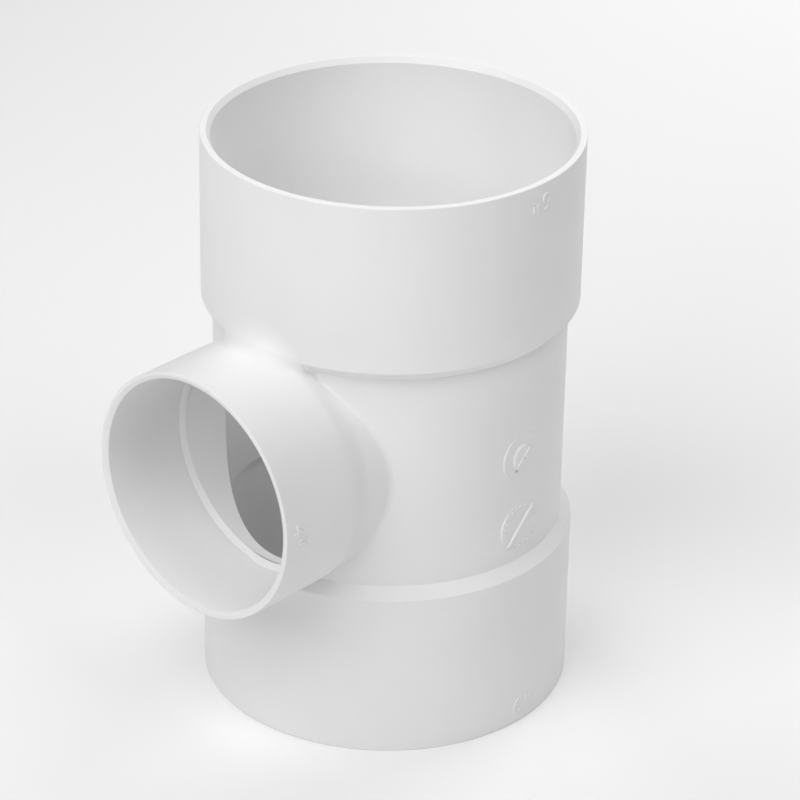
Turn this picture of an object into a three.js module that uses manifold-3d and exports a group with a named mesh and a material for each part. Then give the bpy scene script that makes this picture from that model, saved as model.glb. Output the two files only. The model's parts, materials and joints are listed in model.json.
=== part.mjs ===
// Reducing tee for 6 in and 4 in PVC sewer and drain pipe: a straight run with a solvent-weld
// socket at each end, and a smaller socket square to it. Millimetres. The run stands on +Z and
// the branch points to -Y. The origin is under the middle of the whole fitting, on its lower rim.
import * as THREE from 'three';
import { mergeVertices } from 'three/addons/utils/BufferGeometryUtils.js';
import Module from 'manifold-3d';

const wasm = await Module();
wasm.setup();

// ---- Driving dimensions ------------------------------------------------------------------

// Run: outside
const RUN_LENGTH = 269.2;
const HUB_R = 84.9;
const BARREL_R = 79.8;
const UPPER_HUB_LENGTH = 77.5;
const LOWER_HUB_LENGTH = 78.7;

// Run: inside
const RUN_BORE_R = 74.4;
const SOCKET_MOUTH_R = 80.05;
const SOCKET_FLOOR_R = 79.6;
const SOCKET_DEPTH = 75.1;
const LEAD_IN_R = 82;
const LEAD_IN_DEPTH = 2.6;
const STOP_HEIGHT = 4.9;

// Branch: distances along it are from the run's axis
const BRANCH_REACH = 125;
const BRANCH_HUB_R = 57.2;
const BRANCH_HUB_START = 85;
const NECK_R = 54.85;
const NECK_END = 71;
const NECK_BORE_R = 50.7;
const BRANCH_MOUTH_R = 53.75;
const BRANCH_FLOOR_R = 53.2;
const BRANCH_SOCKET_DEPTH = 43.9;
const BRANCH_LEAD_IN_R = 55.65;
const BRANCH_LEAD_IN_DEPTH = 1.2;
const BRANCH_STOP_LENGTH = 4;

// Raised marks: a size mark on each socket, and two flat round mould plugs on the barrel
const MARK_HEIGHT = 0.55;
const MARK_ROOT = 1;
const MARK_STROKE = 1.1;
const TICK_STROKE = 0.9;
const MARK_FROM_RIM = 4.8;
const LOWER_MARK_OFFSET = 2.6;
const UPPER_MARK_OFFSET = 4.1;
const BRANCH_MARK_OFFSET = 3.2;
const BRANCH_MARK_SCALE = 0.9;
const NUMERAL_HEIGHT = 7.8;
const NUMERAL_R = 2.65;
const TICK_HEIGHT = 3.3;
const TICK_AT = [5.8, 8];
const PLUG_R = 12;
const PLUG_HEIGHT = 0.1;
const PLUG_ROOT = 3;
const PLUG_Y = 0.55;
const DIAL_R = 6.5;
const DIAL_STEP = 0.9;
const PLUG_BAR_LENGTH = 22;
const PLUG_BAR_HEIGHT = 1.1;
const PLUG_BAR_STROKE = 2;
const POINTER_STEP = 0.5;
const DIAL_RISE = 1;
const MATERIAL_PLUG_DROP = 35.2;

// Division of the one moulding into sections
const SEAM_GAP = 0.3;
const SEGMENTS = 72;
const MARK_CURVE_STEPS = 10;
const PLUG_CURVE_STEPS = 24;

// ---- Derived places ------------------------------------------------------------------------

const SHOULDER = HUB_R - BARREL_R;
const MID_Z = RUN_LENGTH / 2;
const RUN_Y = (BRANCH_REACH - HUB_R) / 2;
const LOWER_BARREL_Z = LOWER_HUB_LENGTH + SHOULDER;
const UPPER_BARREL_Z = RUN_LENGTH - UPPER_HUB_LENGTH - SHOULDER;
const BRANCH_FLOOR = BRANCH_REACH - BRANCH_SOCKET_DEPTH;
const BRANCH_SEAM = HUB_R + 2 * SEAM_GAP;
const NECK_ROOT = BARREL_R / 2;
const OVERSHOOT = 10;

// ---- Solids --------------------------------------------------------------------------------

// A closed geometry as a manifold solid.
function solid(geometry) {
  const bare = geometry.clone();
  bare.deleteAttribute('normal');
  bare.deleteAttribute('uv');
  const merged = mergeVertices(bare, 1e-4);
  return new wasm.Manifold(new wasm.Mesh({
    numProp: 3,
    vertProperties: merged.attributes.position.array,
    triVerts: new Uint32Array(merged.index.array),
  }));
}

// A manifold solid as a geometry with flat facets.
function geometryOf(body) {
  const mesh = body.getMesh();
  const geometry = new THREE.BufferGeometry();
  geometry.setAttribute('position', new THREE.BufferAttribute(mesh.vertProperties, 3));
  geometry.setIndex(new THREE.BufferAttribute(mesh.triVerts, 1));
  const faceted = geometry.toNonIndexed();
  faceted.computeVertexNormals();
  return faceted;
}

// Turns a closed outline of [radius, height] points about +Z.
function turned(outline) {
  const closed = [...outline, outline[0]].map(([r, z]) => new THREE.Vector2(r, z));
  return solid(new THREE.LatheGeometry(closed, SEGMENTS).rotateX(Math.PI / 2));
}

// Turns a closed outline of [radius, distance] points about the branch's axis.
function turnedOnBranch(outline) {
  const closed = [...outline, outline[0]].map(([r, s]) => new THREE.Vector2(r, s));
  const lathe = new THREE.LatheGeometry(closed, SEGMENTS).rotateX(Math.PI);
  return solid(lathe.translate(0, 0, MID_Z));
}

// ---- Raised marks --------------------------------------------------------------------------

const X = new THREE.Vector3(1, 0, 0);
const Y = new THREE.Vector3(0, 1, 0);
const Z = new THREE.Vector3(0, 0, 1);

// A straight stroke from one point to another, as wide as `width`.
function bar(x0, y0, x1, y1, width) {
  const along = new THREE.Vector2(x1 - x0, y1 - y0).normalize();
  const half = new THREE.Vector2(-along.y, along.x).multiplyScalar(width / 2);
  return new THREE.Shape([
    new THREE.Vector2(x0, y0).sub(half),
    new THREE.Vector2(x1, y1).sub(half),
    new THREE.Vector2(x1, y1).add(half),
    new THREE.Vector2(x0, y0).add(half),
  ]);
}

// A stroke along an arc that runs anticlockwise about (x, y).
function arcStroke(x, y, radius, from, to, width) {
  const shape = new THREE.Shape();
  shape.absarc(x, y, radius + width / 2, from, to, false);
  shape.absarc(x, y, radius - width / 2, to, from, true);
  return shape;
}

// A filled circle.
function disc(radius) {
  return new THREE.Shape().absarc(0, 0, radius, 0, 2 * Math.PI, false);
}

// A whole round line.
function roundLine(x, y, radius, width) {
  const shape = new THREE.Shape();
  shape.absarc(x, y, radius + width / 2, 0, 2 * Math.PI, false);
  const hole = new THREE.Path();
  hole.absarc(x, y, radius - width / 2, 0, 2 * Math.PI, true);
  shape.holes.push(hole);
  return shape;
}

// A plain 6 on the baseline: a round bowl with a curved tail.
function numeralSix() {
  const bowl = NUMERAL_R - MARK_STROKE / 2;
  const tail = 2.65 * bowl;
  const tailTop = 0.66 * Math.PI;
  return [
    roundLine(0, NUMERAL_R, bowl, MARK_STROKE),
    arcStroke(tail - bowl, NUMERAL_R, tail, tailTop, Math.PI, MARK_STROKE),
  ];
}

// A plain 4 on the baseline: a stem, a slope and a crossbar.
function numeralFour() {
  const stem = 0.45 * NUMERAL_R;
  const crossbar = 0.28 * NUMERAL_HEIGHT;
  return [
    bar(stem, 0, stem, NUMERAL_HEIGHT, MARK_STROKE),
    bar(stem, NUMERAL_HEIGHT - MARK_STROKE / 2, -NUMERAL_R, crossbar, MARK_STROKE),
    bar(-NUMERAL_R, crossbar, NUMERAL_R, crossbar, MARK_STROKE),
  ];
}

// The pair of inch ticks that follows a numeral.
function inchTicks() {
  const foot = NUMERAL_HEIGHT - TICK_HEIGHT;
  return TICK_AT.map((x) => bar(x, foot, x, NUMERAL_HEIGHT, TICK_STROKE));
}

// A date dial: a flat plug, a smaller raised dial on it and its pointer, with each one's height.
function dateDial() {
  const half = (0.75 * DIAL_R) / Math.SQRT2;
  return [
    [disc(PLUG_R), PLUG_HEIGHT],
    [disc(DIAL_R), PLUG_HEIGHT + DIAL_STEP],
    [bar(-half, -half, half, half, PLUG_BAR_STROKE), PLUG_HEIGHT + DIAL_STEP + POINTER_STEP],
  ];
}

// A material plug: a flat plug and a bar across it, with each one's height.
function materialPlug() {
  const half = PLUG_BAR_LENGTH / 2 / Math.SQRT2;
  return [
    [disc(PLUG_R), PLUG_HEIGHT],
    [bar(-half, -half, half, half, PLUG_BAR_STROKE), PLUG_BAR_HEIGHT],
  ];
}

// Joins a flat-faced plug to the barrel's +X side. Heights are above the barrel's radius, so a
// plug's edge is level with the wall at its top and foot, and stands proud of it at its sides.
function joinPlug(body, layers, height) {
  const frame = new THREE.Matrix4().makeBasis(Y, Z, X);
  frame.setPosition(BARREL_R - PLUG_ROOT, PLUG_Y, height);
  return layers.reduce((joined, [shape, rise]) => {
    const layer = new THREE.ExtrudeGeometry(shape, {
      depth: PLUG_ROOT + rise,
      bevelEnabled: false,
      curveSegments: PLUG_CURVE_STEPS,
    });
    return joined.add(solid(layer.applyMatrix4(frame)));
  }, body);
}

// Joins raised strokes to a body. The strokes are drawn on a plane square to +X, whose axes are
// `right` and `up` from `origin`, run out from inside the wall, and stop at `skin`. The lengths of
// `right` and `up` scale the strokes.
function joinMarks(body, skin, shapes, origin, right, up) {
  const frame = new THREE.Matrix4().makeBasis(right, up, X);
  frame.setPosition(origin);
  return shapes.reduce((joined, shape) => {
    const stroke = new THREE.ExtrudeGeometry(shape, {
      depth: 2 * OVERSHOOT,
      bevelEnabled: false,
      curveSegments: MARK_CURVE_STEPS,
    });
    return joined.add(solid(stroke.applyMatrix4(frame)).intersect(skin));
  }, body);
}

// ---- Whole envelopes -----------------------------------------------------------------------

// The run's outside, grown by `grow`.
function runEnvelope(grow) {
  return turned([
    [0, -grow],
    [HUB_R + grow, -grow],
    [HUB_R + grow, LOWER_HUB_LENGTH],
    [BARREL_R + grow, LOWER_BARREL_Z],
    [BARREL_R + grow, UPPER_BARREL_Z],
    [HUB_R + grow, RUN_LENGTH - UPPER_HUB_LENGTH],
    [HUB_R + grow, RUN_LENGTH + grow],
    [0, RUN_LENGTH + grow],
  ]);
}

// Everything that is open inside the branch, from the run's axis out past its rim.
function branchPassage() {
  return turnedOnBranch([
    [0, 0],
    [NECK_BORE_R, 0],
    [NECK_BORE_R, BRANCH_FLOOR - BRANCH_STOP_LENGTH],
    [BRANCH_FLOOR_R, BRANCH_FLOOR],
    [BRANCH_FLOOR_R, BRANCH_REACH],
    [0, BRANCH_REACH],
  ]);
}

// The skin that raised marks on a run wall of this radius reach out to.
function runSkin(radius) {
  return turned([
    [radius - MARK_ROOT, -OVERSHOOT],
    [radius + MARK_HEIGHT, -OVERSHOOT],
    [radius + MARK_HEIGHT, RUN_LENGTH + OVERSHOOT],
    [radius - MARK_ROOT, RUN_LENGTH + OVERSHOOT],
  ]);
}

// ---- Sections of the moulding ----------------------------------------------------------------

// A run socket's wall, rim down, from the rim to the depth that the pipe reaches.
function hubOutline() {
  return [
    [LEAD_IN_R, 0],
    [HUB_R, 0],
    [HUB_R, SOCKET_DEPTH],
    [SOCKET_FLOOR_R, SOCKET_DEPTH],
    [SOCKET_MOUTH_R, LEAD_IN_DEPTH],
  ];
}

// The same outline with the rim up.
function rimUp(outline) {
  return outline.map(([r, z]) => [r, RUN_LENGTH - z]).reverse();
}

function lowerHub() {
  const origin = new THREE.Vector3(HUB_R - OVERSHOOT, -LOWER_MARK_OFFSET, MARK_FROM_RIM);
  const strokes = [...numeralSix(), ...inchTicks()];
  return joinMarks(turned(hubOutline()), runSkin(HUB_R), strokes, origin, Y, Z);
}

function upperHub() {
  const height = RUN_LENGTH - MARK_FROM_RIM;
  const origin = new THREE.Vector3(HUB_R - OVERSHOOT, UPPER_MARK_OFFSET, height);
  const strokes = [...numeralSix(), ...inchTicks()];
  const hub = turned(rimUp(hubOutline()));
  return joinMarks(hub, runSkin(HUB_R), strokes, origin, Y.clone().negate(), Z.clone().negate());
}

// The shoulder that joins a hub to the barrel, rim down, with a seat for the pipe stop.
function shoulderOutline(hubLength) {
  const seat = SOCKET_DEPTH + STOP_HEIGHT;
  return [
    [SOCKET_FLOOR_R, SOCKET_DEPTH],
    [HUB_R, SOCKET_DEPTH],
    [HUB_R, hubLength],
    [BARREL_R, hubLength + SHOULDER],
    [RUN_BORE_R, hubLength + SHOULDER],
    [RUN_BORE_R, seat],
    [SOCKET_FLOOR_R, seat],
  ];
}

// The sloped ledge that a pipe end stops on, rim down.
function stopOutline() {
  const outer = SOCKET_FLOOR_R - SEAM_GAP;
  const seat = SOCKET_DEPTH + STOP_HEIGHT;
  const slope = STOP_HEIGHT / (SOCKET_FLOOR_R - RUN_BORE_R);
  return [
    [outer, SOCKET_DEPTH + SEAM_GAP * slope],
    [outer, seat],
    [RUN_BORE_R, seat],
  ];
}

// The barrel between the shoulders, open to the branch, with the two mould plugs.
function runBarrel() {
  const tube = turned([
    [RUN_BORE_R, LOWER_BARREL_Z],
    [BARREL_R, LOWER_BARREL_Z],
    [BARREL_R, UPPER_BARREL_Z],
    [RUN_BORE_R, UPPER_BARREL_Z],
  ]);
  const dialZ = MID_Z + DIAL_RISE;
  const dated = joinPlug(tube, dateDial(), dialZ);
  return joinPlug(dated, materialPlug(), dialZ - MATERIAL_PLUG_DROP).subtract(branchPassage());
}

// The neck grows into the branch hub by an easy taper, and its end follows the run's outside.
function branchNeck() {
  const neck = turnedOnBranch([
    [NECK_BORE_R, NECK_ROOT],
    [NECK_R, NECK_ROOT],
    [NECK_R, NECK_END],
    [BRANCH_HUB_R, BRANCH_HUB_START],
    [BRANCH_HUB_R, BRANCH_SEAM],
    [BRANCH_FLOOR_R, BRANCH_SEAM],
    [BRANCH_FLOOR_R, BRANCH_FLOOR],
    [NECK_BORE_R, BRANCH_FLOOR - BRANCH_STOP_LENGTH],
  ]);
  return neck.subtract(runEnvelope(SEAM_GAP));
}

// The branch's socket wall, from the neck to its rim.
function branchHub() {
  const wall = turnedOnBranch([
    [BRANCH_FLOOR_R, BRANCH_SEAM],
    [BRANCH_HUB_R, BRANCH_SEAM],
    [BRANCH_HUB_R, BRANCH_REACH],
    [BRANCH_LEAD_IN_R, BRANCH_REACH],
    [BRANCH_MOUTH_R, BRANCH_REACH - BRANCH_LEAD_IN_DEPTH],
  ]);
  const skin = turnedOnBranch([
    [BRANCH_HUB_R - MARK_ROOT, BRANCH_SEAM],
    [BRANCH_HUB_R + MARK_HEIGHT, BRANCH_SEAM],
    [BRANCH_HUB_R + MARK_HEIGHT, BRANCH_REACH],
    [BRANCH_HUB_R - MARK_ROOT, BRANCH_REACH],
  ]);
  const along = MARK_FROM_RIM - BRANCH_REACH;
  const origin = new THREE.Vector3(BRANCH_HUB_R - OVERSHOOT, along, MID_Z + BRANCH_MARK_OFFSET);
  const strokes = [...numeralFour(), ...inchTicks()];
  const right = Z.clone().multiplyScalar(-BRANCH_MARK_SCALE);
  const up = Y.clone().multiplyScalar(BRANCH_MARK_SCALE);
  return joinMarks(wall, skin, strokes, origin, right, up);
}

// ---- Assembly --------------------------------------------------------------------------------

const WHITE_PVC = { color: 0xf1f1ef, roughness: 0.32, metalness: 0 };

const sections = {
  upper_hub: upperHub(),
  upper_shoulder: turned(rimUp(shoulderOutline(UPPER_HUB_LENGTH))),
  upper_pipe_stop: turned(rimUp(stopOutline())),
  run_barrel: runBarrel(),
  lower_pipe_stop: turned(stopOutline()),
  lower_shoulder: turned(shoulderOutline(LOWER_HUB_LENGTH)),
  lower_hub: lowerHub(),
  branch_neck: branchNeck(),
  branch_hub: branchHub(),
};

const tee = new THREE.Group();
tee.position.y = RUN_Y;
for (const [name, body] of Object.entries(sections)) {
  const mesh = new THREE.Mesh(geometryOf(body), new THREE.MeshStandardMaterial(WHITE_PVC));
  mesh.name = name;
  tee.add(mesh);
}

export default tee;
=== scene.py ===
import json
import math

import bmesh
import bpy
import numpy as np
from mathutils import Matrix, Vector

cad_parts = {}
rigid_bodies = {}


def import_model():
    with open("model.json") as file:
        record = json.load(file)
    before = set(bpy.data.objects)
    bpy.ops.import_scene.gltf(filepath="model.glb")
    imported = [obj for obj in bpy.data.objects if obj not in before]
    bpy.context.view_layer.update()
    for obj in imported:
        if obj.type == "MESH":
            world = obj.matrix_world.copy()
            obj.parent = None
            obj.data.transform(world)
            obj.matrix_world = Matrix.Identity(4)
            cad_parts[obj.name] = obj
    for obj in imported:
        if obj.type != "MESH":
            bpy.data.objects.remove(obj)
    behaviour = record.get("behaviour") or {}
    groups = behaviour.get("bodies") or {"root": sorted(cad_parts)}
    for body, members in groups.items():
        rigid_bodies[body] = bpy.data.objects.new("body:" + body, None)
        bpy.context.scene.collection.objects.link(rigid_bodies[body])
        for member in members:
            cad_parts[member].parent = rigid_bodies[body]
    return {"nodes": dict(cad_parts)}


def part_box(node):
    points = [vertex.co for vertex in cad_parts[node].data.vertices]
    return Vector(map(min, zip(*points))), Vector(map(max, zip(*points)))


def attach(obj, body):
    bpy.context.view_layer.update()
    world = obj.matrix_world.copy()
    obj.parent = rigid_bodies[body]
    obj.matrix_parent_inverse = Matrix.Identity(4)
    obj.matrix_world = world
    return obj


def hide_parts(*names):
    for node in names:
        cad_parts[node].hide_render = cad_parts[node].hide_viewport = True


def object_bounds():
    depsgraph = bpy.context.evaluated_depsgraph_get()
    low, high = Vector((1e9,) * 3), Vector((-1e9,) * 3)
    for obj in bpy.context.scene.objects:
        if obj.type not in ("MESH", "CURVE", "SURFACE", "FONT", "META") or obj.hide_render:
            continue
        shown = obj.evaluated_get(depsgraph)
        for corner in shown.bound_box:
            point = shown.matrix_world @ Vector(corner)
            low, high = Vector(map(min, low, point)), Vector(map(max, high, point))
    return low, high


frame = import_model()
cad_low, cad_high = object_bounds()

MM = 0.001

# ---- Sizes read from the frame ---------------------------------------------------------------


def vertices(node):
    """A CAD node's vertices, one row each."""
    return np.array([v.co for v in frame["nodes"][node].data.vertices])


def run_profile(node):
    """A run node's vertices as (distance from the run's axis, height)."""
    at = vertices(node)
    return np.stack([np.hypot(at[:, 0], at[:, 1] - RUN_Y), at[:, 2]], axis=-1)


def branch_profile(node):
    """A branch node's vertices as (distance from the branch's axis, reach from the run's axis)."""
    at = vertices(node)
    return np.stack([np.hypot(at[:, 0], at[:, 2] - MID_Z), RUN_Y - at[:, 1]], axis=-1)


def bore_rings(profile, limit):
    """The corners of a turned bore, to 0.01 mm: its rows within a radius, in order along the axis."""
    bore = profile[profile[:, 0] < limit]
    return np.unique(np.round(bore[:, ::-1], 5), axis=0)[:, ::-1].tolist()


# Thinner than the walls at the sockets' mouths: a ring further in than this belongs to the bore.
HUB_WALL = 2 * MM
BRANCH_WALL = 1.2 * MM

hub_low, hub_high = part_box("lower_hub")
barrel_low, barrel_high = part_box("run_barrel")
branch_low, branch_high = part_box("branch_hub")

RUN_LENGTH = cad_high.z
MID_Z = RUN_LENGTH / 2
RUN_Y = (hub_low.y + hub_high.y) / 2
HUB_R = (hub_high.y - hub_low.y) / 2
BARREL_R = barrel_high.y - RUN_Y
SHOULDER = HUB_R - BARREL_R
LOWER_BARREL_Z = barrel_low.z
UPPER_BARREL_Z = barrel_high.z
STOP_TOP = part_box("lower_pipe_stop")[1].z
RUN_BORE_R = float(run_profile("lower_pipe_stop")[:, 0].min())
lead_in, mouth, socket_end = bore_rings(run_profile("lower_hub"), HUB_R - HUB_WALL)
LEAD_IN_R = lead_in[0]
SOCKET_MOUTH_R, LEAD_IN_DEPTH = mouth
SOCKET_FLOOR_R, SOCKET_DEPTH = socket_end

BRANCH_REACH = RUN_Y - branch_low.y
BRANCH_R = (branch_high.z - branch_low.z) / 2
socket_end, mouth, lead_in = bore_rings(branch_profile("branch_hub"), BRANCH_R - BRANCH_WALL)
BRANCH_FLOOR_R = socket_end[0]
BRANCH_MOUTH_R, BRANCH_MOUTH = mouth
BRANCH_LEAD_IN_R = lead_in[0]
neck = branch_profile("branch_neck")
NECK_BORE_R = float(neck[:, 0].min())
BRANCH_FLOOR = float(neck[np.abs(neck[:, 0] - BRANCH_FLOOR_R) < 0.01 * MM, 1].min())

# ---- Moulded details -------------------------------------------------------------------------

SEGMENTS = 480
ARC_STEPS = 6
EDGE = 0.5 * MM
HOLD = 0.25 * MM
CREASE = 0.8 * MM

NECK_R = BRANCH_R - 2.35 * MM
NECK_END = 71 * MM
BRANCH_HUB_START = 85 * MM
STOP_LEDGE = 4 * MM
NECK_FILLET = 1.3 * MM
TOP_FILLET = 16 * MM
TOP_FILLET_ACROSS = 0.49
NECK_TOP = HUB_R + TOP_FILLET + 3 * MM
NECK_RINGS = 110
RING_SPREAD = 1.3
PIVOT_OUT = 6 * MM
LET_IN = 0.05 * MM
ROUNDS = 40

MARK_HEIGHT = 0.55 * MM
MARK_STROKE = 1.1 * MM
MARK_FROM_RIM = 4.8 * MM
NUMERAL_HEIGHT = 7.8 * MM
NUMERAL_R = 2.65 * MM
TICK_STROKE = 0.9 * MM
TICK_HEIGHT = 3.3 * MM
TICK_AT = (5.8 * MM, 8 * MM)
LOWER_MARK_OFFSET = 2.6 * MM
UPPER_MARK_OFFSET = 4.1 * MM
BRANCH_MARK_OFFSET = 3.2 * MM
BRANCH_MARK_SCALE = 0.9

PLUG_R = 12 * MM
PLUG_HEIGHT = 0.05 * MM
PLUG_CHAMFER = 0.15 * MM
PLUG_ROOT = 2.5 * MM
PLUG_Y = 0.55 * MM
DIAL_Z = MID_Z + 1 * MM
DIAL_R = 6.5 * MM
DIAL_STEP = 0.9 * MM
POINTER_LENGTH = 1.5 * DIAL_R
POINTER_STEP = 0.5 * MM
MATERIAL_PLUG_Z = DIAL_Z - 35.2 * MM
BAR_LENGTH = 22 * MM
BAR_HEIGHT = 1.1 * MM
BAR_STROKE = 2 * MM
PIPS = 22
PIP_R = 0.7 * MM
PIP_HEIGHT = 0.4 * MM
PIP_CHAMFER = 0.25 * MM
PIP_RING_R = 0.83 * PLUG_R

PIT_DEPTH = 1.6 * MM
PIT_R = 0.8 * MM
CENTRE_PIT_R = 0.5 * MM
DIAL_PIT = (-3.2 * MM, DIAL_Z - 6 * MM, PIT_R)
CENTRE_PIT = (PLUG_Y, DIAL_Z, CENTRE_PIT_R)
MATERIAL_PLUG_PIT = (-6.6 * MM, MATERIAL_PLUG_Z - 8.6 * MM, PIT_R)

WITNESS_FROM = 0.1
WITNESS_TO = 0.93
WITNESS_TURN = math.radians(29.5)
WITNESS_STROKE = 0.5 * MM
WITNESS_HEIGHT = 0.2 * MM

# ---- Meshes ----------------------------------------------------------------------------------


def finish_mesh(name, mesh, node):
    """Makes the piece that stands for a CAD node: smooth faces, with hard edges kept hard."""
    mesh.shade_smooth()
    mesh.set_sharp_from_angle(angle=math.radians(32))
    piece = bpy.data.objects.new(name, mesh)
    bpy.context.scene.collection.objects.link(piece)
    mesh.materials.clear()
    mesh.materials.append(PVC)
    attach(piece, "root")
    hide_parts(node)
    return piece


def closed_mesh(name, rings):
    """A closed body from points shaped (around, along the outline, 3), which close both ways."""
    around, along, _ = rings.shape
    index = np.arange(around * along).reshape(around, along)
    next_ring = np.roll(index, -1, axis=0)
    quads = np.stack(
        [index, next_ring, np.roll(next_ring, -1, axis=1), np.roll(index, -1, axis=1)], axis=-1
    )
    mesh = bpy.data.meshes.new(name)
    mesh.from_pydata(rings.reshape(-1, 3).tolist(), [], quads.reshape(-1, 4).tolist())
    bm = bmesh.new()
    bm.from_mesh(mesh)
    bmesh.ops.recalc_face_normals(bm, faces=bm.faces)
    bm.to_mesh(mesh)
    bm.free()
    return mesh


def angles():
    return np.linspace(0, 2 * math.pi, SEGMENTS, endpoint=False)


def about_run(outline):
    """Turns (radius, height) points about the run's axis."""
    radius, height = np.array(outline).T
    turn = angles()[:, None]
    x = radius * np.cos(turn)
    y = RUN_Y + radius * np.sin(turn)
    return np.stack([x, y, np.broadcast_to(height, x.shape)], axis=-1)


def about_branch(outline):
    """Turns (radius, reach) points about the branch's axis. Reach is from the run's axis.
    The outline may also be an array with one outline for each angle."""
    outline = np.array(outline)
    radius, reach = outline[..., 0], outline[..., 1]
    turn = angles()[:, None]
    x = radius * np.cos(turn)
    z = MID_Z + radius * np.sin(turn)
    return np.stack([x, np.broadcast_to(RUN_Y - reach, x.shape), z], axis=-1)


def rounded(corners):
    """Points of a closed outline of (radius, height, rounding) corners. A rounded corner becomes an
    arc, held by one more point on each side so that its shading stays on it."""
    points = []
    count = len(corners)
    for i, (r, h, rounding) in enumerate(corners):
        corner = Vector((r, h))
        if not rounding:
            points.append(corner)
            continue
        to_last = (Vector(corners[i - 1][:2]) - corner).normalized()
        to_next = (Vector(corners[(i + 1) % count][:2]) - corner).normalized()
        half = to_last.angle(to_next) / 2
        reach = rounding / math.tan(half)
        centre = corner + (to_last + to_next).normalized() * (rounding / math.sin(half))
        start = (corner + to_last * reach - centre).normalized()
        end = (corner + to_next * reach - centre).normalized()
        points.append(corner + to_last * (reach + HOLD))
        for step in range(ARC_STEPS + 1):
            points.append(centre + rounding * start.slerp(end, step / ARC_STEPS))
        points.append(corner + to_next * (reach + HOLD))
    return [tuple(p) for p in points]


def rim_up(corners):
    """The same outline turned end for end on the run."""
    return [(r, RUN_LENGTH - h, rounding) for r, h, rounding in corners]


def combined(blank, tools):
    """A closed mesh after each (operation, mesh) in turn has been joined to it or cut from it."""
    scene = bpy.context.scene.collection.objects
    body = bpy.data.objects.new("blank", blank)
    scene.link(body)
    helpers = [body]
    for operation, mesh in tools:
        helper = bpy.data.objects.new("tool", mesh)
        scene.link(helper)
        helpers.append(helper)
        boolean = body.modifiers.new(operation, "BOOLEAN")
        boolean.operation = operation
        boolean.solver = "EXACT"
        boolean.use_self = True
        boolean.object = helper
    graph = bpy.context.evaluated_depsgraph_get()
    made = bpy.data.meshes.new_from_object(body.evaluated_get(graph))
    for helper in helpers:
        bpy.data.objects.remove(helper)
    return made


# ---- Raised marks ----------------------------------------------------------------------------


def on_run(radius, offset, height, way=1):
    """Puts (right, up, out) points on a run wall's +X side. way is -1 for a mark that is read with
    the fitting upside down."""

    def place(right, up, out):
        turn = (offset + way * right) / radius
        return (
            (radius + out) * math.cos(turn),
            RUN_Y + (radius + out) * math.sin(turn),
            height + way * up,
        )

    return place


def on_lower_shoulder(right, up, out):
    """Puts (right, up, out) points on the lower shoulder's cone, up its slope from the hub."""
    turn = WITNESS_TURN + right / HUB_R
    radius = HUB_R + (out - up) / math.sqrt(2)
    height = LOWER_BARREL_Z - SHOULDER + (out + up) / math.sqrt(2)
    return (radius * math.cos(turn), RUN_Y + radius * math.sin(turn), height)


def on_plug(height):
    """Puts (right, up, out) points on a flat plug face on the barrel's +X side."""

    def place(right, up, out):
        return (BARREL_R + out, RUN_Y + PLUG_Y + right, height + up)

    return place


def on_branch(right, up, out):
    """Puts (right, up, out) points on the branch's +X side, up away from its rim."""
    turn = (BRANCH_MARK_OFFSET - BRANCH_MARK_SCALE * right) / BRANCH_R
    return (
        (BRANCH_R + out) * math.cos(turn),
        RUN_Y - BRANCH_REACH + MARK_FROM_RIM + BRANCH_MARK_SCALE * up,
        MID_Z + (BRANCH_R + out) * math.sin(turn),
    )


def arc(x, y, radius, start, end, steps=24):
    """Points along an arc about (x, y), in degrees."""
    turns = np.radians(np.linspace(start, end, steps + 1))
    return [(x + radius * math.cos(t), y + radius * math.sin(t)) for t in turns]


def line(x0, y0, x1, y1, steps=8):
    return [(x0 + (x1 - x0) * k / steps, y0 + (y1 - y0) * k / steps) for k in range(steps + 1)]


def loft(bm, rings, closed=False):
    """Faces between each ring of points and the next, with a face over each open end."""
    made = [[bm.verts.new(point) for point in ring] for ring in rings]
    pairs = list(zip(made, made[1:]))
    if closed:
        pairs.append((made[-1], made[0]))
    for one, other in pairs:
        for k in range(len(one)):
            j = (k + 1) % len(one)
            bm.faces.new((one[k], other[k], other[j], one[j]))
    if not closed:
        bm.faces.new(made[0])
        bm.faces.new(made[-1])


def stations(path, closed):
    """(point, direction) along a path."""
    count = len(path)
    found = []
    for i, point in enumerate(path):
        last = path[i - 1] if closed or i else point
        following = path[(i + 1) % count] if closed or i < count - 1 else point
        found.append((point, (following - last).normalized()))
    return found


def stroke(bm, path, width, height, place, root=MARK_HEIGHT):
    """A raised line along a path on a wall, with a rounded back and ends, rooted in the wall."""
    back = [(-0.5, 0.2), (-0.36, 0.8), (-0.2, 1), (0.2, 1), (0.36, 0.8), (0.5, 0.2)]
    section = [(-0.5, -root), *((side, out * height) for side, out in back), (0.5, -root)]
    points = [Vector(p) for p in path]
    closed = (points[0] - points[-1]).length < 0.01 * MM
    if closed:
        points.pop()
    cuts = [(point, along, 1) for point, along in stations(points, closed)]
    if not closed:
        past_end = 0.3 * width
        narrow = 0.55
        first, start, _ = cuts[0]
        last, end, _ = cuts[-1]
        cuts.insert(0, (first - start * past_end, start, narrow))
        cuts.append((last + end * past_end, end, narrow))
    rings = []
    for point, along, share in cuts:
        across = Vector((-along.y, along.x)) * width * share
        ring = []
        for side, out in section:
            at = point + across * side
            ring.append(place(at.x, at.y, out * share if out > 0 else out))
        rings.append(ring)
    loft(bm, rings, closed)


def plate(bm, x, y, radius, height, chamfer, place):
    """A round flat plate with a chamfered edge, rooted in the wall."""
    around = 72
    outline = [(radius, -PLUG_ROOT), (radius, height - chamfer), (radius - chamfer, height)]
    turns = [2 * math.pi * k / around for k in range(around)]
    rings = []
    for ring_radius, out in outline:
        rings.append(
            [place(x + ring_radius * math.cos(t), y + ring_radius * math.sin(t), out) for t in turns]
        )
    loft(bm, rings)


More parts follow.
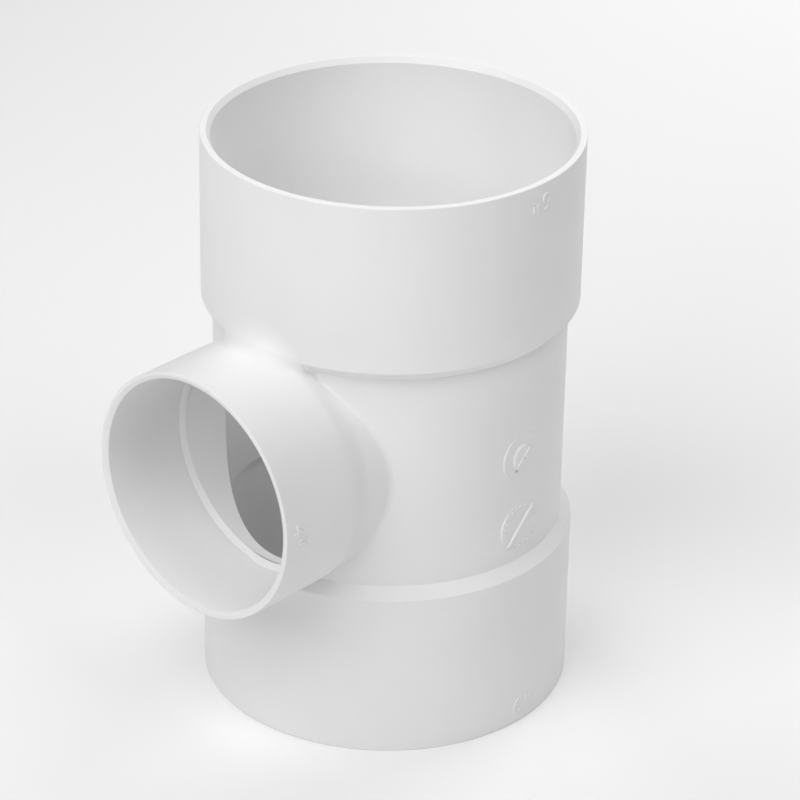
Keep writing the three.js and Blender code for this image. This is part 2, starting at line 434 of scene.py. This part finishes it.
def slanting_bar(bm, length, height, place):
    """A bar at 45 degrees across the middle of a plug."""
    half = length / 2 / math.sqrt(2)
    stroke(bm, line(half, half, -half, -half), BAR_STROKE, height, place, PLUG_ROOT)


def mark_mesh(draw, place):
    """A mesh of what draw(bm, place) puts on a wall."""
    bm = bmesh.new()
    draw(bm, place)
    bmesh.ops.recalc_face_normals(bm, faces=bm.faces)
    mesh = bpy.data.meshes.new("mark")
    bm.to_mesh(mesh)
    bm.free()
    return mesh


def inch_ticks(bm, place):
    foot = NUMERAL_HEIGHT - TICK_HEIGHT
    for x in TICK_AT:
        stroke(bm, line(x, foot, x, NUMERAL_HEIGHT), TICK_STROKE, MARK_HEIGHT, place)


def six_inch(bm, place):
    """A plain 6 and inch ticks: a round bowl with a curved tail."""
    bowl = NUMERAL_R - MARK_STROKE / 2
    tail = 2.65 * bowl
    stroke(bm, arc(0, NUMERAL_R, bowl, 0, 360), MARK_STROKE, MARK_HEIGHT, place)
    stroke(bm, arc(tail - bowl, NUMERAL_R, tail, 119, 178), MARK_STROKE, 0.96 * MARK_HEIGHT, place)
    inch_ticks(bm, place)


def four_inch(bm, place):
    """A plain 4 and inch ticks: a stem, a slope and a crossbar."""
    stem = 0.45 * NUMERAL_R
    crossbar = 0.28 * NUMERAL_HEIGHT
    top = NUMERAL_HEIGHT - MARK_STROKE / 2
    stroke(bm, line(stem, 0, stem, NUMERAL_HEIGHT), MARK_STROKE, MARK_HEIGHT, place)
    stroke(bm, line(stem, top, -NUMERAL_R, crossbar), MARK_STROKE, 0.97 * MARK_HEIGHT, place)
    stroke(bm, line(-NUMERAL_R, crossbar, NUMERAL_R, crossbar), MARK_STROKE, 0.94 * MARK_HEIGHT, place)
    inch_ticks(bm, place)


def date_dial(bm, place):
    """A flat plug with a smaller raised dial on it and the dial's pointer."""
    dial_height = PLUG_HEIGHT + DIAL_STEP
    plate(bm, 0, 0, PLUG_R, PLUG_HEIGHT, PLUG_CHAMFER, place)
    plate(bm, 0, 0, DIAL_R, dial_height, DIAL_STEP, place)
    slanting_bar(bm, POINTER_LENGTH, dial_height + POINTER_STEP, place)


def material_plug(bm, place):
    """A flat plug with a bar across it and plain pips round its edge."""
    plate(bm, 0, 0, PLUG_R, PLUG_HEIGHT, PLUG_CHAMFER, place)
    slanting_bar(bm, BAR_LENGTH, BAR_HEIGHT, place)
    for k in range(PIPS):
        turn = 2 * math.pi * (k + 0.5) / PIPS
        spot = PIP_RING_R * Vector((math.cos(turn), math.sin(turn)))
        plate(bm, spot.x, spot.y, PIP_R, PLUG_HEIGHT + PIP_HEIGHT, PIP_CHAMFER, place)


def witness_line(bm, place):
    """The fine rib that the mould's parting leaves across the lower shoulder."""
    slope = SHOULDER * math.sqrt(2)
    path = line(0, WITNESS_FROM * slope, 0, WITNESS_TO * slope)
    stroke(bm, path, WITNESS_STROKE, WITNESS_HEIGHT, place)


def rod(bm, matrix, radius, length, segments):
    """A round rod along the matrix's z axis, with its middle at the matrix's origin."""
    bmesh.ops.create_cone(
        bm,
        cap_ends=True,
        segments=segments,
        radius1=radius,
        radius2=radius,
        depth=length,
        matrix=matrix,
    )


def pits(bm, spots):
    """Small blind holes in the plugs' faces, at (right, height, radius) spots."""
    sideways = Matrix.Rotation(math.pi / 2, 4, "Y")
    for right, height, radius in spots:
        at = Matrix.Translation((BARREL_R, RUN_Y + right, height))
        rod(bm, at @ sideways, radius, 2 * PIT_DEPTH, 24)


# ---- Material --------------------------------------------------------------------------------


def white_pvc():
    """Satin-gloss moulded PVC: nearly even white, a faint cloud in colour and gloss, fine grain."""
    made = bpy.data.materials.new("moulded_pvc")
    made.use_nodes = True
    nodes, links = made.node_tree.nodes, made.node_tree.links
    shader = nodes["Principled BSDF"]
    shader.inputs["IOR"].default_value = 1.53
    place = nodes.new("ShaderNodeTexCoord")

    cloud = nodes.new("ShaderNodeTexNoise")
    cloud.inputs["Scale"].default_value = 14
    cloud.inputs["Detail"].default_value = 4
    links.new(place.outputs["Object"], cloud.inputs["Vector"])

    tone = nodes.new("ShaderNodeValToRGB")
    tone.color_ramp.elements[0].position = 0.35
    tone.color_ramp.elements[0].color = (0.87, 0.87, 0.87, 1)
    tone.color_ramp.elements[1].position = 0.65
    tone.color_ramp.elements[1].color = (0.90, 0.90, 0.90, 1)
    links.new(cloud.outputs["Fac"], tone.inputs["Fac"])
    links.new(tone.outputs["Color"], shader.inputs["Base Color"])

    gloss = nodes.new("ShaderNodeMapRange")
    gloss.inputs["To Min"].default_value = 0.42
    gloss.inputs["To Max"].default_value = 0.54
    links.new(cloud.outputs["Fac"], gloss.inputs["Value"])
    links.new(gloss.outputs["Result"], shader.inputs["Roughness"])

    grain = nodes.new("ShaderNodeTexNoise")
    grain.inputs["Scale"].default_value = 900
    grain.inputs["Detail"].default_value = 3
    links.new(place.outputs["Object"], grain.inputs["Vector"])
    bump = nodes.new("ShaderNodeBump")
    bump.inputs["Strength"].default_value = 0.05
    bump.inputs["Distance"].default_value = 0.1 * MM
    links.new(grain.outputs["Fac"], bump.inputs["Height"])
    links.new(bump.outputs["Normal"], shader.inputs["Normal"])
    return made


# ---- The run ---------------------------------------------------------------------------------


def hub_corners():
    """A run socket's wall, rim down."""
    return [
        (LEAD_IN_R, 0, 0.4 * EDGE),
        (HUB_R, 0, EDGE),
        (HUB_R, SOCKET_DEPTH, 0),
        (SOCKET_FLOOR_R, SOCKET_DEPTH, 0),
        (SOCKET_MOUTH_R, LEAD_IN_DEPTH, EDGE),
    ]


def shoulder_corners(barrel_height):
    """The step from the hub to the barrel, rim down, with the seat of the pipe stop."""
    return [
        (SOCKET_FLOOR_R, SOCKET_DEPTH, 0),
        (HUB_R, SOCKET_DEPTH, 0),
        (HUB_R, barrel_height - SHOULDER, CREASE),
        (BARREL_R, barrel_height, 0),
        (RUN_BORE_R, barrel_height, 0),
        (RUN_BORE_R, STOP_TOP, 0),
        (SOCKET_FLOOR_R, STOP_TOP, 0),
    ]


def stop_corners():
    """The sloped ledge that a pipe end stops on, rim down."""
    return [
        (SOCKET_FLOOR_R, SOCKET_DEPTH, 0),
        (SOCKET_FLOOR_R, STOP_TOP, 0),
        (RUN_BORE_R, STOP_TOP, 0),
    ]


def run_sections():
    lower_shoulder = shoulder_corners(LOWER_BARREL_Z)
    upper_shoulder = shoulder_corners(RUN_LENGTH - UPPER_BARREL_Z)
    outlines = {
        "lower_hub": hub_corners(),
        "lower_shoulder": lower_shoulder,
        "lower_pipe_stop": stop_corners(),
        "upper_hub": rim_up(hub_corners()),
        "upper_shoulder": rim_up(upper_shoulder),
        "upper_pipe_stop": rim_up(stop_corners()),
    }
    lower_mark = on_run(HUB_R, -LOWER_MARK_OFFSET, MARK_FROM_RIM)
    upper_mark = on_run(HUB_R, UPPER_MARK_OFFSET, RUN_LENGTH - MARK_FROM_RIM, way=-1)
    marks = {
        "lower_hub": (six_inch, lower_mark),
        "upper_hub": (six_inch, upper_mark),
        "lower_shoulder": (witness_line, on_lower_shoulder),
    }
    for node, corners in outlines.items():
        mesh = closed_mesh(node, about_run(rounded(corners)))
        if node in marks:
            mesh = combined(mesh, [("UNION", mark_mesh(*marks[node]))])
        finish_mesh(node + "_skin", mesh, node)


def passage():
    """The branch's bore, where it goes through the front of the barrel's wall."""
    bm = bmesh.new()
    forward = Matrix.Rotation(math.pi / 2, 4, "X")
    at = Matrix.Translation((0, RUN_Y - BARREL_R, MID_Z))
    rod(bm, at @ forward, NECK_BORE_R, BARREL_R, SEGMENTS)
    mesh = bpy.data.meshes.new("passage")
    bm.to_mesh(mesh)
    bm.free()
    return mesh


def run_barrel():
    """The barrel, with the branch's bore cut through its front."""
    corners = [
        (RUN_BORE_R, LOWER_BARREL_Z, 0),
        (BARREL_R, LOWER_BARREL_Z, 0),
        (BARREL_R, UPPER_BARREL_Z, 0),
        (RUN_BORE_R, UPPER_BARREL_Z, 0),
    ]
    tools = [
        ("UNION", mark_mesh(date_dial, on_plug(DIAL_Z))),
        ("UNION", mark_mesh(material_plug, on_plug(MATERIAL_PLUG_Z))),
        ("DIFFERENCE", mark_mesh(pits, [DIAL_PIT, CENTRE_PIT, MATERIAL_PLUG_PIT])),
        ("DIFFERENCE", passage()),
    ]
    mesh = closed_mesh("run_barrel", about_run(rounded(corners)))
    finish_mesh("run_barrel_skin", combined(mesh, tools), "run_barrel")


# ---- The branch ------------------------------------------------------------------------------


def soft_step(value, start, end):
    """0 before start, 1 after end, and an easy curve between."""
    t = np.clip((value - start) / (end - start), 0, 1)
    return t * t * (3 - 2 * t)


def outer_union(a, b, radius):
    """Distance to two solids joined with a fillet of this radius."""
    inside = np.hypot(np.maximum(radius - a, 0), np.maximum(radius - b, 0))
    return np.maximum(radius, np.minimum(a, b)) - inside


def rounded_overlap(a, b, radius):
    """Distance to what two solids share, with its edge rounded to this radius."""
    outside = np.hypot(np.maximum(radius + a, 0), np.maximum(radius + b, 0))
    return np.minimum(-radius, np.maximum(a, b)) + outside


def run_wall_radius(height):
    """The run's outside radius at a height."""
    upper = np.clip(height - UPPER_BARREL_Z, 0, SHOULDER)
    lower = np.clip(LOWER_BARREL_Z - height, 0, SHOULDER)
    return BARREL_R + upper + lower


def run_distance(x, reach, height):
    """Distance from the run's outside."""
    radius = np.hypot(x, reach)
    barrel = radius - BARREL_R
    over = (barrel - (height - UPPER_BARREL_Z)) / math.sqrt(2)
    under = (barrel - (LOWER_BARREL_Z - height)) / math.sqrt(2)
    upper = rounded_overlap(radius - HUB_R, over, CREASE)
    lower = rounded_overlap(radius - HUB_R, under, CREASE)
    return np.minimum(barrel, np.minimum(upper, lower))


def branch_wall_radius(reach):
    """The branch's outside radius: the neck grows into the hub by a soft step."""
    return NECK_R + (BRANCH_R - NECK_R) * soft_step(reach, NECK_END, BRANCH_HUB_START)


def branch_distance(x, reach, height):
    return np.hypot(x, height - MID_Z) - branch_wall_radius(reach)


def fillet_radius(x, height):
    """Small round the neck, and growing to large over its top, where it runs into the upper hub."""
    up = height - MID_Z
    across = x / np.maximum(np.hypot(x, up), MM)
    share = np.where(up > 0, np.maximum(1 - (across / TOP_FILLET_ACROSS) ** 2, 0), 0)
    return NECK_FILLET + (TOP_FILLET - NECK_FILLET) * share


def tee_distance(x, reach, height):
    """Distance from the whole fitting's outside."""
    run = run_distance(x, reach, height)
    branch = branch_distance(x, reach, height)
    return outer_union(run, branch, fillet_radius(x, height))


def neck_root(cos, sin):
    """(radius, reach) at each angle of the line where the neck's fillet leaves the run's wall."""

    def reach_on_run(radius):
        wall = run_wall_radius(MID_Z + radius * sin)
        return np.sqrt(wall**2 - (radius * cos) ** 2)

    fillet = fillet_radius(cos, MID_Z + sin)
    radius = np.full(SEGMENTS, BRANCH_R)
    for _ in range(ROUNDS):
        radius = branch_wall_radius(reach_on_run(radius)) + fillet
    return np.stack([radius, reach_on_run(radius)], axis=-1)


def neck_outside():
    """(radius, reach) points of the neck's outside, one row for each angle, from its root on the
    run's wall to the ring where only the round branch is left. They are found by halving, on rays
    that fan out from a point in the open corner between the branch and the run."""
    turn = angles()
    cos, sin = np.cos(turn), np.sin(turn)
    root = neck_root(cos, sin)
    start = root[:, None, :]
    end = np.broadcast_to([BRANCH_R, NECK_TOP], (SEGMENTS, 1, 2))
    pivot = np.stack([root[:, 0] + PIVOT_OUT, (root[:, 1] + NECK_TOP) / 2], axis=-1)[:, None, :]

    share = np.linspace(0, 1, NECK_RINGS)[None, :, None] ** RING_SPREAD
    aim = start + (end - start) * share - pivot
    length = np.linalg.norm(aim, axis=-1, keepdims=True)
    aim = aim / length
    near = 0.3 * length[..., 0]
    far = length[..., 0] + 2 * PIVOT_OUT
    for _ in range(ROUNDS):  # The surface stays between near and far.
        middle = (near + far) / 2
        at = pivot + aim * middle[..., None]
        x = at[..., 0] * cos[:, None]
        height = MID_Z + at[..., 0] * sin[:, None]
        outside = tee_distance(x, at[..., 1], height) > 0
        near = np.where(outside, middle, near)
        far = np.where(outside, far, middle)
    found = pivot + aim * near[..., None]
    found[:, 0] = start[:, 0]
    found[:, -1] = end[:, 0]
    return found


def branch_neck():
    """The neck: its outside from the field, its bore with the stop ledge, and an end that follows
    the run's wall, let into it by a hair. The bore's last corner only gives its direction."""
    outside = neck_outside()
    inner = rounded(
        [
            (BRANCH_FLOOR_R, NECK_TOP, 0),
            (BRANCH_FLOOR_R, BRANCH_FLOOR, 0.3 * EDGE),
            (NECK_BORE_R, BRANCH_FLOOR - STOP_LEDGE, EDGE),
            (NECK_BORE_R, BARREL_R - 2 * MM, 0),
        ]
    )[:-1]
    inside = np.broadcast_to(inner, (SEGMENTS, len(inner), 2))
    bore_reach = np.sqrt(BARREL_R**2 - (NECK_BORE_R * np.cos(angles())) ** 2)
    bore_end = np.stack([np.full(SEGMENTS, NECK_BORE_R), bore_reach - LET_IN], axis=-1)
    root_end = outside[:, 0] - [0, LET_IN]
    outline = np.concatenate([outside, inside, bore_end[:, None], root_end[:, None]], axis=1)
    mesh = closed_mesh("branch_neck", about_branch(outline))
    finish_mesh("branch_neck_skin", mesh, "branch_neck")


def branch_hub():
    """The branch's socket wall, from the neck to its rim."""
    corners = [
        (BRANCH_FLOOR_R, NECK_TOP, 0),
        (BRANCH_R, NECK_TOP, 0),
        (BRANCH_R, BRANCH_REACH, EDGE),
        (BRANCH_LEAD_IN_R, BRANCH_REACH, 0.3 * EDGE),
        (BRANCH_MOUTH_R, BRANCH_MOUTH, EDGE),
    ]
    mesh = closed_mesh("branch_hub", about_branch(rounded(corners)))
    mesh = combined(mesh, [("UNION", mark_mesh(four_inch, on_branch))])
    finish_mesh("branch_hub_skin", mesh, "branch_hub")


# ---- Stage -----------------------------------------------------------------------------------

CENTRE = Vector((0, RUN_Y, MID_Z))
FLOOR_HALF = 6
LIGHT_DISTANCE = 1.6
CAMERA_LENS = 155.1
CAMERA_AIM = CENTRE + Vector((3.73, 3.4, -0.1)) * MM
CAMERA_AZIMUTH = 42.16
CAMERA_ELEVATION = 28.04
CAMERA_ROLL = 0.01865
CAMERA_DISTANCE = 1.5688


def direction(azimuth, elevation):
    """Unit vector towards a viewer at this azimuth (0 in front, 90 on +X) and elevation, in degrees."""
    a, e = math.radians(azimuth), math.radians(elevation)
    return Vector((math.sin(a) * math.cos(e), -math.cos(a) * math.cos(e), math.sin(e)))


def floor():
    half = FLOOR_HALF
    mesh = bpy.data.meshes.new("floor")
    corners = [(-half, -half, 0), (half, -half, 0), (half, half, 0), (-half, half, 0)]
    mesh.from_pydata(corners, [], [(0, 1, 2, 3)])
    paper = bpy.data.materials.new("floor_paper")
    paper.use_nodes = True
    shader = paper.node_tree.nodes["Principled BSDF"]
    shader.inputs["Base Color"].default_value = (0.95, 0.95, 0.95, 1)
    shader.inputs["Roughness"].default_value = 0.9
    mesh.materials.append(paper)
    piece = bpy.data.objects.new("floor", mesh)
    bpy.context.scene.collection.objects.link(piece)


def soft_light(name, azimuth, elevation, size, power):
    """A square area light that faces the fitting."""
    data = bpy.data.lights.new(name, "AREA")
    data.size = size
    data.energy = power
    light = bpy.data.objects.new(name, data)
    towards = direction(azimuth, elevation)
    light.location = CENTRE + towards * LIGHT_DISTANCE
    light.rotation_mode = "QUATERNION"
    light.rotation_quaternion = towards.to_track_quat("Z", "Y")
    bpy.context.scene.collection.objects.link(light)


def lights():
    """A large soft light over the front, one from each side, and two from behind."""
    soft_light("front", azimuth=5, elevation=44, size=1.3, power=17.6)
    soft_light("right", azimuth=90, elevation=50, size=0.9, power=7.2)
    soft_light("left", azimuth=-90, elevation=50, size=0.9, power=6.2)
    soft_light("back", azimuth=180, elevation=40, size=0.9, power=8)
    soft_light("low_back", azimuth=-150, elevation=12, size=0.9, power=5)
    world = bpy.data.worlds.new("room")
    world.use_nodes = True
    sky = world.node_tree.nodes["Background"]
    sky.inputs["Color"].default_value = (1, 1, 1, 1)
    sky.inputs["Strength"].default_value = 0.02
    bpy.context.scene.world = world
    bpy.context.scene.view_settings.view_transform = "Standard"


def camera():
    """A long lens above the front right, rolled a little, aimed just beside the run's middle."""
    data = bpy.data.cameras.new("camera")
    data.lens = CAMERA_LENS
    data.sensor_width = 36
    data.clip_end = 20
    view = bpy.data.objects.new("camera", data)
    back = direction(CAMERA_AZIMUTH, CAMERA_ELEVATION)
    view.location = CAMERA_AIM + back * CAMERA_DISTANCE
    view.rotation_mode = "QUATERNION"
    roll = Matrix.Rotation(CAMERA_ROLL, 4, back)
    view.rotation_quaternion = roll.to_quaternion() @ back.to_track_quat("Z", "Y")
    bpy.context.scene.collection.objects.link(view)
    bpy.context.scene.camera = view


PVC = white_pvc()
run_sections()
run_barrel()
branch_neck()
branch_hub()
floor()
lights()
camera()
